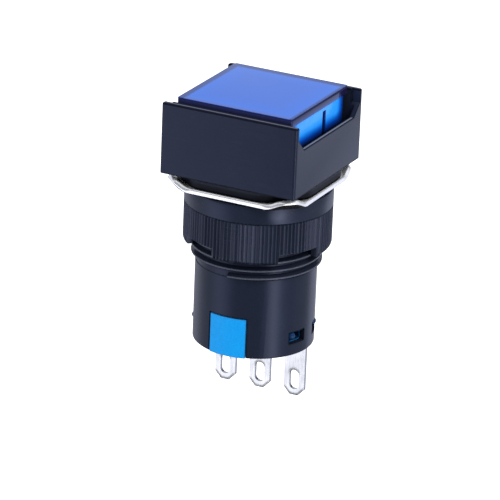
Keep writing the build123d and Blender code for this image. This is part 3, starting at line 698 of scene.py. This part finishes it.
flank = blend(tree, band(tree, near_x, half - 0.10 * mm, half - 0.02 * mm), front_flank, side_flank)
back_end = band(tree, place["Y"], half - 2.1 * mm, half - 1.8 * mm)
flank = blend(tree, back_end, flank, (0.010, 0.009, 0.050, 1))
top = band(tree, place["Z"], lens_top - 0.05 * mm, lens_top - 0.01 * mm)
colour = blend(tree, top, flank, face)
rub = placed(tree, scuff, Turn=(0.0, 0.0, 0.7), Scale=3000.0, Amount=0.3)
haze = placed(
    tree, skin, Light=(1, 1, 1, 1), Dark=(1, 1, 1, 1), Grain=1500.0, Cloud=160.0, Smooth=0.05, Rough=0.11,
)
# The lip under the face's rounded edge is matt.
lip = band(tree, place["Z"], lens_top - 0.36 * mm, lens_top - 0.20 * mm)
lip = product(tree, lip, maths(tree, "SUBTRACT", 0.7, top, clamp=True))
rough = maths(tree, "MULTIPLY_ADD", rub["Mask"], 0.1, haze["Roughness"])
connect(tree, shader, Base_Color=colour, Roughness=largest(tree, rough, lip))
connect(tree, shader, IOR=1.30, Specular_Tint=(0.80, 0.88, 1.0, 1), Normal=relief(tree, haze["Height"], 4e-7))
dressed("lens", "lens_cap", cap, rides="button")


# ---- gasket ------------------------------------------------------------------------
# Black rubber ring under the head that seals it to the panel, with softly rounded edges and a
# matt surface, painted pale up at the head and dark down at its foot as painted light and shadow.
def rounded_square(half, limit, count):
    """Radius at evenly spaced angles of a square of that half side cut by a circle: the smaller of
    the distance to the side and the circle's radius, eased where they meet."""
    a = 2 * np.pi * (np.arange(count) + 0.5) / count
    flat = half / np.maximum(np.abs(np.cos(a)), np.abs(np.sin(a)))
    power = 60.0
    return a, (flat**-power + limit**-power) ** (-1 / power)


gasket_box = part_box("panel_gasket")
a, outer = rounded_square(gasket_box[1][0], 9.8 * mm, 360)
bore, top, bottom, soft = 8.12 * mm, gasket_box[1][2], gasket_box[0][2], 0.22 * mm
arc = np.linspace(0, np.pi / 2, 5)[:, None]
inner = np.full((1, a.size), bore)
radii = np.vstack([inner, outer - soft + soft * np.sin(arc), outer - soft + soft * np.cos(arc), inner])
low_edge, high_edge = bottom + soft * (1 - np.cos(arc[:, 0])), top - soft * (1 - np.sin(arc[:, 0]))
heights = np.concatenate([[bottom], low_edge, high_edge, [top]])[:, None] + 0 * a
grid = np.stack([radii * np.cos(a), radii * np.sin(a), heights], -1)
rubber, tree, shader, colour, roughness = moulding(
    "black_rubber", (0.0065, 0.0070, 0.0095), (0.0045, 0.0050, 0.0070), 2400.0, 4e-6,
    0.42, 0.60, (0.014, 0.015, 0.019), 1.20, (0.7, 0.75, 1.0),
)
# Painted light and shadow: the rim against the head is painted pale and the foot against the
# washer dark, where a painted shadow falls. The foot is also made fully rough.
place, _ = point(tree)
share = node(tree, "MapRange", {"Value": place["Z"], "From Min": bottom, "From Max": top}).outputs["Result"]
light_and_shadow = ramp(tree, share, [(0.0, 0.08), (0.25, 0.30), (0.50, 0.8), (0.65, 1.6), (0.82, 4.2), (1.0, 5.2)])
lit_and_shaded = blend(tree, 1.0, colour, light_and_shadow, "MULTIPLY")
connect(tree, shader, Base_Color=lit_and_shaded, Roughness=largest(tree, roughness, fade(tree, share, 0.15, 0.45)))
gasket = skinned("gasket_ring", grid, rubber, "housing_body", ends=False)
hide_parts("panel_gasket")


# ---- lock washer ---------------------------------------------------------------------
# Square washer pressed from spring steel and bright nickel plated. Its four corners
# are bent up so that they bite the back of the panel.
def bent(u, v, fold, angle, radius):
    """Bends a flat sheet up along a line across each corner. The distance along the diagonal beyond
    the fold first runs round an arc of that radius, then straight on at the angle. Returns the bent
    point and the upward normal of the sheet there."""
    sx, sy = np.where(u < 0, -1.0, 1.0), np.where(v < 0, -1.0, 1.0)
    beyond = np.maximum((np.abs(u) + np.abs(v)) / math.sqrt(2) - fold, 0)
    turned = np.minimum(beyond / radius, angle)
    straight = np.maximum(beyond - radius * angle, 0)
    out = radius * np.sin(turned) + straight * math.cos(angle) - beyond
    rise = radius * (1 - np.cos(turned)) + straight * math.sin(angle)
    x, y = u + sx * out / math.sqrt(2), v + sy * out / math.sqrt(2)
    lean = np.sin(turned) / math.sqrt(2)
    return np.stack([x, y, rise], -1), np.stack([-sx * lean, -sy * lean, np.cos(turned)], -1)


washer_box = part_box("lock_washer")
thick, side_half, corner_r, edge_r = 0.8 * mm, 8.95 * mm, 11.65 * mm, 0.2 * mm
washer_bore, fold_at, fold_angle, fold_r = 8.1 * mm, 9.65 * mm, math.radians(38), 1.3 * mm
a, outer = rounded_square(side_half, corner_r, 480)
share = np.linspace(0, 1, 26)[:, None]
reach = washer_bore * (1 - share) + (outer - edge_r)[None] * share
# The underside is coined towards the rim, and the rim itself is rounded.
round_edge = np.linspace(-np.pi / 2, np.pi / 2, 9)[1:-1, None]
edge = (outer - edge_r)[None] + edge_r * np.cos(round_edge)
radii = np.vstack([reach, edge, reach[::-1]])
coined = 1 - 0.30 * np.clip((share[:, 0] - 0.85) / 0.12, 0, 1)
rounded = np.sin(round_edge[:, 0])
rounded = np.where(rounded < 0, 0.70, 1.0) * np.sign(rounded) * np.abs(rounded) ** 0.6
lift = np.concatenate([-coined, rounded, np.ones(share.size)])
sheet_at, normal = bent(radii * np.cos(a), radii * np.sin(a), fold_at, fold_angle, fold_r)
grid = sheet_at + normal * (lift * thick / 2)[:, None, None]
grid[..., 2] += washer_box[0][2] + thick / 2
# The under colour paints shade on the washer's underside.
nickel = plated(
    "bright_nickel", (0.98, 0.97, 0.95), (0.90, 0.89, 0.87), (1.0, 1.0, 5.0), 1100.0, 4e-6, 0.18, 0.34,
    metal=0.70, under=(0.045, 0.046, 0.055),
)
washer = skinned("washer_sheet", grid, nickel, "washer", ends=False)
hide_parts("lock_washer")


# ---- ring nut -----------------------------------------------------------------------
# Black moulded nut: a plain collar, a finely ribbed grip, and a lower edge with four
# notches for a spanner. It runs on the neck's thread below the washer.
nut_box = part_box("ring_nut")
top, bottom = nut_box[1][2], nut_box[0][2]
ribs, per_rib, rib_depth = 116, 8, 0.15 * mm
a = 2 * np.pi * np.arange(ribs * per_rib) / (ribs * per_rib)
crest = 0.5 + 0.5 * np.cos(ribs * a)
groove = np.floor(ribs * a / (2 * np.pi)).astype(int)
deep = np.random.default_rng(7).uniform(0.55, 1.05, ribs)[groove % ribs]
cut_in = rib_depth * deep * (1 - crest**0.7)
collar_end = top - 2.25 * mm
# Profile from the bore's upper edge over the outside and back up the bore: radius in mm,
# height, and the share of the ribs' depth that is cut there.
rows = [
    (8.1, top, 0), (8.85, top, 0), (9.02, top - 0.05 * mm, 0), (9.07, top - 0.18 * mm, 0),
    (9.07, top - 1.2 * mm, 0), (9.07, collar_end + 0.06 * mm, 0), (8.98, collar_end, 0.4),
    (8.98, collar_end - 0.05 * mm, 1), (9.07, collar_end - 0.14 * mm, 1), (9.07, collar_end - 1.5 * mm, 1),
    (9.07, collar_end - 3.0 * mm, 1), (9.07, bottom + 1.55 * mm, 1), (9.07, bottom + 1.45 * mm, 1),
    (9.07, bottom + 1.3 * mm, 1), (9.07, bottom + 0.45 * mm, 1), (8.98, bottom + 0.22 * mm, 0.8),
    (8.80, bottom + 0.04 * mm, 0.2), (8.7, bottom, 0), (8.1, bottom, 0), (8.1, bottom + 1.5 * mm, 0),
    (8.1, (top + bottom) / 2, 0),
]
reach = np.array([r for r, _, _ in rows])[:, None] * mm
level = np.array([z for _, z, _ in rows])[:, None] + 0 * a
cut = np.array([c for _, _, c in rows])[:, None]
radii = reach - cut * cut_in[None]
# Four notches, a quarter turn apart, each cut up from the lower edge.
notch_at, notch_half, notch_height = 61.0, 18.25, 1.35 * mm
from_notch = np.abs((np.degrees(a) + 90.0 - notch_at + 45.0) % 90.0 - 45.0)
raised = np.clip((notch_half - from_notch) / 0.5, 0, 1)
level = np.maximum(level, bottom + notch_height * raised[None])
grid = np.stack([radii * np.cos(a), radii * np.sin(a), level], -1)[::-1]
nut_plastic, tree, shader, colour, roughness = moulding(
    "black_nut_nylon", (0.0125, 0.0178, 0.0335), (0.0105, 0.0155, 0.0300), 4600.0, 1.2e-6,
    0.18, 0.30, (0.020, 0.026, 0.045), 1.30, (0.66, 0.70, 1.0),
)
# The ribbed grip is made darker than the collar, and pale painted highlights run down some of
# its ribs from top to bottom.
where = node(tree, "TexCoord").outputs["Object"]
tall = node(tree, "Mapping", {"Vector": where, "Scale": (1.0, 1.0, 0.03)})
bright = node(tree, "TexNoise", {"Vector": tall.outputs[0], "Scale": 1300.0, "Detail": 2.0})
place, _ = point(tree)
grip = fade(tree, place["Z"], collar_end - 0.25 * mm, collar_end - 0.10 * mm)
rib_highlight = product(tree, band(tree, bright.outputs["Fac"], 0.54, 0.66), grip)
colour = blend(tree, product(tree, grip, 0.4), colour, (0.003, 0.005, 0.012, 1))
colour = blend(tree, rib_highlight, colour, (0.021, 0.026, 0.042, 1))
# Painted highlight: one pale patch on the collar below the washer's corner.
highlight_spot = (5.90 * mm, -6.88 * mm, top - 0.95 * mm)
patch = node(tree, "VectorMath", {0: where, 1: highlight_spot}, operation="DISTANCE")
collar_highlight = fade(tree, patch.outputs["Value"], 0.3 * mm, 1.5 * mm)
connect(tree, shader, Base_Color=blend(tree, collar_highlight, colour, (0.056, 0.067, 0.104, 1)))
nut = skinned("nut_moulding", grid, nut_plastic, "nut", ends=False, sharp=32)
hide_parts("ring_nut")
